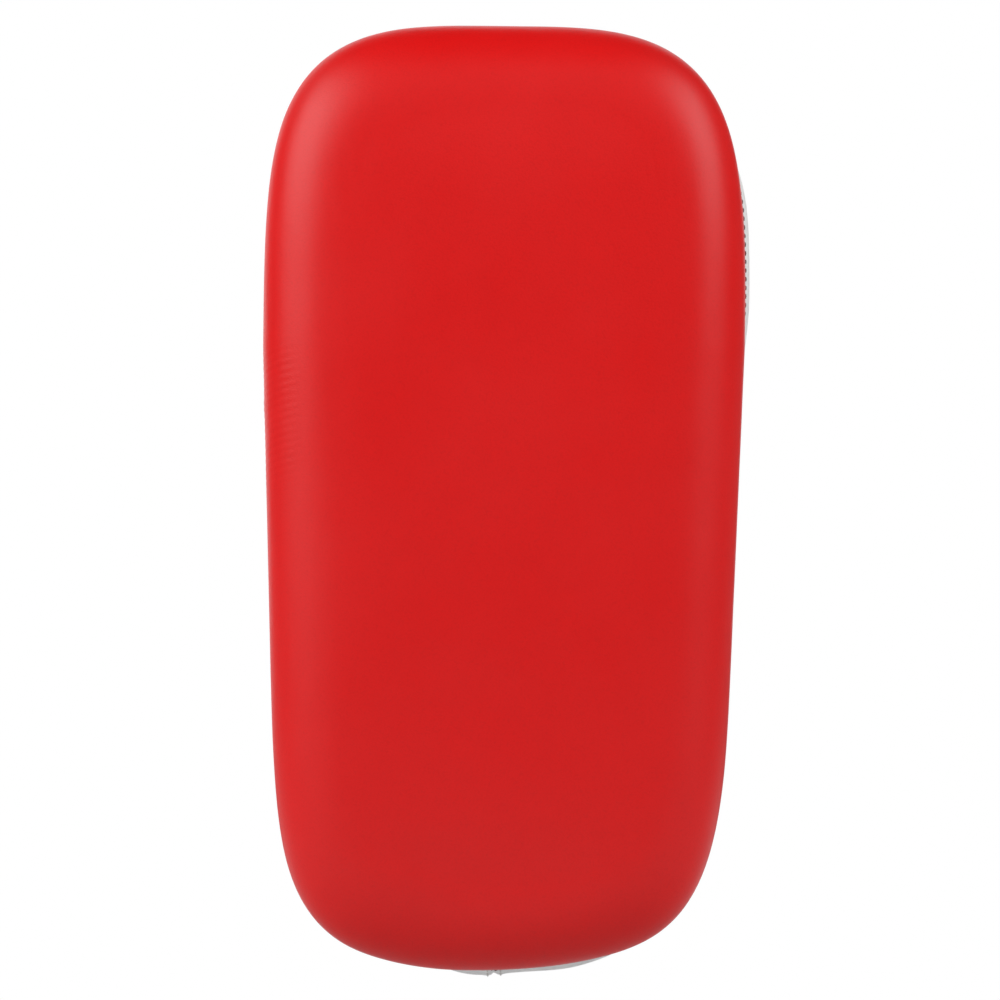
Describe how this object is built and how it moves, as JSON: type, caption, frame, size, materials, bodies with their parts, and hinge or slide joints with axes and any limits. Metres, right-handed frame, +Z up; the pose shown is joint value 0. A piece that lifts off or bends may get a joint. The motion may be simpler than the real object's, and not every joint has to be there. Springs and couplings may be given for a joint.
{
  "type": "thai pad",
  "caption": "Foam-filled kick and punch pad in red leather with a white side band, a hand grip and two forearm straps with wire rings.",
  "frame": {"origin": "middle of the hand grip, on its axis", "axes": "+X along the grip across the pad, +Y away from the striking face towards the wearer's arm, +Z up the pad from the elbow end to the hand end"},
  "size_m": [0.1938, 0.1478, 0.3801],
  "materials": {
    "face_leather": "fine-grained red synthetic leather, semi-gloss",
    "white_leather": "fine-grained white synthetic leather, semi-gloss",
    "strap_leather": "red synthetic leather, doubled and stitched",
    "trim_leather": "red synthetic leather patch, stitched",
    "soft_foam": "open-cell foam sheet",
    "dense_foam": "closed-cell foam sheet",
    "fibreboard": "pressed fibreboard",
    "hook_tape": "black hook tape",
    "loop_tape": "black loop tape",
    "plated_steel": "nickel-plated steel wire and rivets"
  },
  "bodies": {
    "pad": {"front_cover": "face_leather", "side_gusset": "white_leather", "back_cover": "white_leather", "back_piping": "white_leather", "impact_foam": "soft_foam", "core_foam": "soft_foam", "backing_foam": "dense_foam", "stiffener_board": "fibreboard", "forearm_cushion_cover": "white_leather", "forearm_cushion_foam": "soft_foam", "grip_strap": "strap_leather", "grip_padding": "dense_foam", "grip_cover": "strap_leather", "grip_cuff_left": "trim_leather", "grip_cuff_right": "trim_leather", "grip_patch_left": "trim_leather", "grip_patch_right": "trim_leather", "rivets": "plated_steel", "rivet_washers": "plated_steel", "upper_strap": "strap_leather", "upper_root_patch": "trim_leather", "upper_loop_tape": "loop_tape", "upper_ring_keeper": "strap_leather", "upper_keeper_patch": "trim_leather", "lower_strap": "strap_leather", "lower_root_patch": "trim_leather", "lower_loop_tape": "loop_tape", "lower_ring_keeper": "strap_leather", "lower_keeper_patch": "trim_leather"},
    "upper_tail": {"upper_strap_tail": "strap_leather", "upper_hook_tape": "hook_tape"},
    "lower_tail": {"lower_strap_tail": "strap_leather", "lower_hook_tape": "hook_tape"},
    "upper_ring": {"upper_ring": "plated_steel"},
    "lower_ring": {"lower_ring": "plated_steel"}
  },
  "joints": [
    {"name": "upper_tail_peel", "type": "hinge", "parent": "pad", "child": "upper_tail", "pos_m": [0.05817, -0.02331, -0.088], "axis": [0, 0, -1], "range_deg": [0, 105]},
    {"name": "lower_tail_peel", "type": "hinge", "parent": "pad", "child": "lower_tail", "pos_m": [0.05817, -0.02331, -0.198], "axis": [0, 0, -1], "range_deg": [0, 105]},
    {"name": "upper_ring_rock", "type": "hinge", "parent": "pad", "child": "upper_ring", "pos_m": [0.059, -0.04192, -0.088], "axis": [0, 0, 1], "range_deg": [-4, 4]},
    {"name": "lower_ring_rock", "type": "hinge", "parent": "pad", "child": "lower_ring", "pos_m": [0.059, -0.04192, -0.198], "axis": [0, 0, 1], "range_deg": [-4, 4]}
  ]
}
